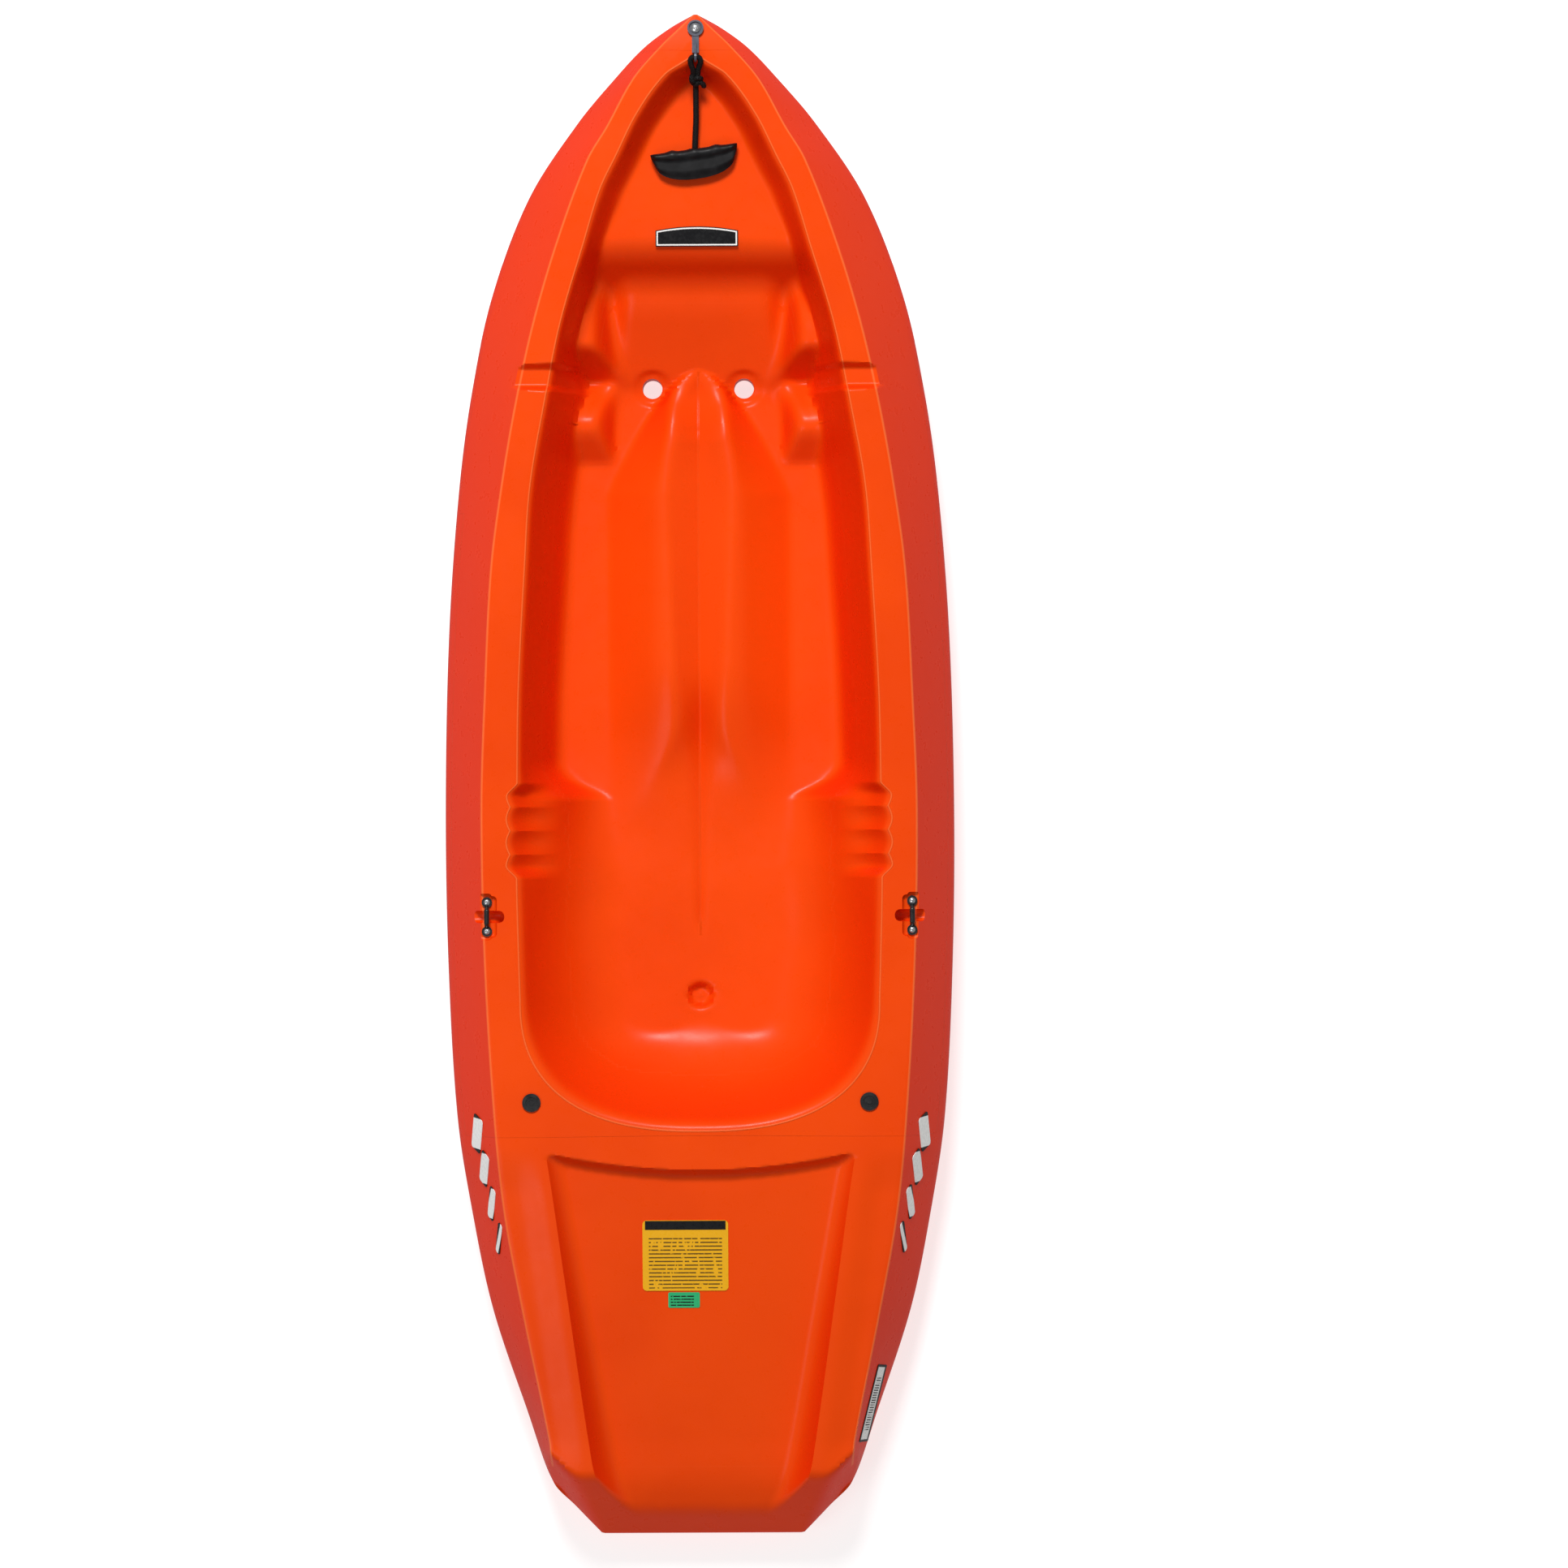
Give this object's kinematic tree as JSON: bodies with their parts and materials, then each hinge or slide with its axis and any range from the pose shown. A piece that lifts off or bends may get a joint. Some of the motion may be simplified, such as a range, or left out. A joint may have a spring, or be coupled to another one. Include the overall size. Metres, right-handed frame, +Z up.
{
  "type": "sit-on-top kayak",
  "caption": "Small sit-on-top kayak hull with a moulded seat and leg wells, drain holes, pad eyes and a rope with a grip at the bow.",
  "frame": {"origin": "under the middle of the hull's length and width, at the height of the flat bottom", "axes": "+Z up, +Y towards the bow, +X to starboard"},
  "size_m": [0.6202, 1.829, 0.2387],
  "materials": {
    "hull_shell": "satin moulded polyethylene",
    "black_nylon": "smooth",
    "steel": "bright",
    "tab": "satin",
    "rope": "braided",
    "grip": "satin",
    "badge": "printed film",
    "yellow_label": "printed film",
    "green_label": "printed film",
    "white_label": "printed film",
    "graphic": "printed film"
  },
  "bodies": {
    "hull_group": {"hull": "hull_shell", "pad_eye_port": "black_nylon", "pad_eye_starboard": "black_nylon", "pad_eye_screws_port": "steel", "pad_eye_screws_starboard": "steel", "tow_tab": "tab", "tow_tab_screw": "steel", "deck_plug_port": "black_nylon", "deck_plug_starboard": "black_nylon", "bow_badge": "badge", "caution_label": "yellow_label", "inspection_label": "green_label", "serial_label": "white_label", "side_graphic_port": "graphic", "side_graphic_starboard": "graphic"},
    "rope": {"tow_knot": "rope", "tow_rope": "rope"},
    "grip": {"grip": "grip"}
  },
  "joints": [
    {"name": "rope_lift", "type": "hinge", "parent": "hull_group", "child": "rope", "pos_m": [0, 0.8625, 0.2324], "axis": [-1, 0, 0], "range_deg": [0, 110]},
    {"name": "grip_turn", "type": "hinge", "parent": "rope", "child": "grip", "pos_m": [-0.002, 0.747, 0.1825], "axis": [0, 0, 1], "range_deg": [-12, 12]}
  ]
}
